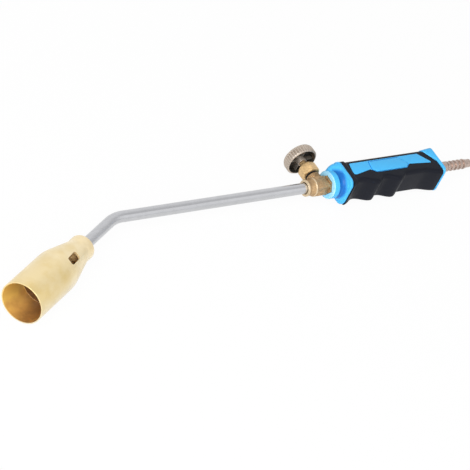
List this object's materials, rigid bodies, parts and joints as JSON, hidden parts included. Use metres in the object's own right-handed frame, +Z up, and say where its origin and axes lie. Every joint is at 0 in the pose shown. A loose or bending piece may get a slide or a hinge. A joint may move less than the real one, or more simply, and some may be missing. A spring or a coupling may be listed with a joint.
{
  "type": "gas torch",
  "caption": "Hand-held gas torch: slotted brass bell on a bent steel lance, side needle valve with a fluted knob, finger-grooved handle in two materials and a barbed hose tail.",
  "frame": {"origin": "centre of the whole torch's box in X and Y, at the level of the bell's lowest line", "axes": "+X along the lance's long straight towards the hose tail, +Y the way the knob's spindle points, +Z up as the torch lies on its side"},
  "size_m": [0.4907, 0.1185, 0.035],
  "materials": {
    "bell_brass": "bright turned",
    "valve_brass": "bare forged and machined",
    "jet_brass": "machined",
    "sintered_bronze": "porous sinter",
    "brazing_filler": "as flowed",
    "zinc_steel": "zinc plated",
    "fastener_steel": "plain plated",
    "knob_nickel": "satin nickel on a casting",
    "packing_nylon": "natural",
    "seal_rubber": "plain",
    "core_blue": "satin moulded",
    "grip_rubber": "fine matt",
    "tail_brass": "nickel washed, worn"
  },
  "bodies": {
    "torch": {"bell_cone": "bell_brass", "bell_mouth_tube": "bell_brass", "brazing_ring": "brazing_filler", "gas_jet": "jet_brass", "gland_nut": "valve_brass", "gland_packing": "packing_nylon", "gland_seal_ring": "seal_rubber", "handle_core": "core_blue", "handle_grip": "grip_rubber", "hose_tail": "tail_brass", "inlet_filter": "sintered_bronze", "jet_filter": "sintered_bronze", "jet_holder": "jet_brass", "lance_tube": "zinc_steel", "packing_washer": "valve_brass", "supply_pipe": "zinc_steel", "tail_washer": "fastener_steel", "valve_body": "valve_brass"},
    "plug": {"seat_plug": "packing_nylon"},
    "knob": {"valve_spindle": "valve_brass", "knob": "knob_nickel", "knob_washer": "fastener_steel", "knob_screw": "fastener_steel"}
  },
  "joints": [
    {"name": "spindle_lift", "type": "slide", "parent": "torch", "child": "plug", "axis": [0, 1, 0], "range_m": [0, 0.00175]},
    {"name": "knob_turn", "type": "hinge", "parent": "plug", "child": "knob", "pos_m": [0.07931, 0.0217, 0.0175], "axis": [0, 1, 0], "range_deg": [0, 631]}
  ],
  "couplings": [
    {"joint": "knob_turn", "follows": "spindle_lift", "rad_per_m": 6283.2}
  ]
}
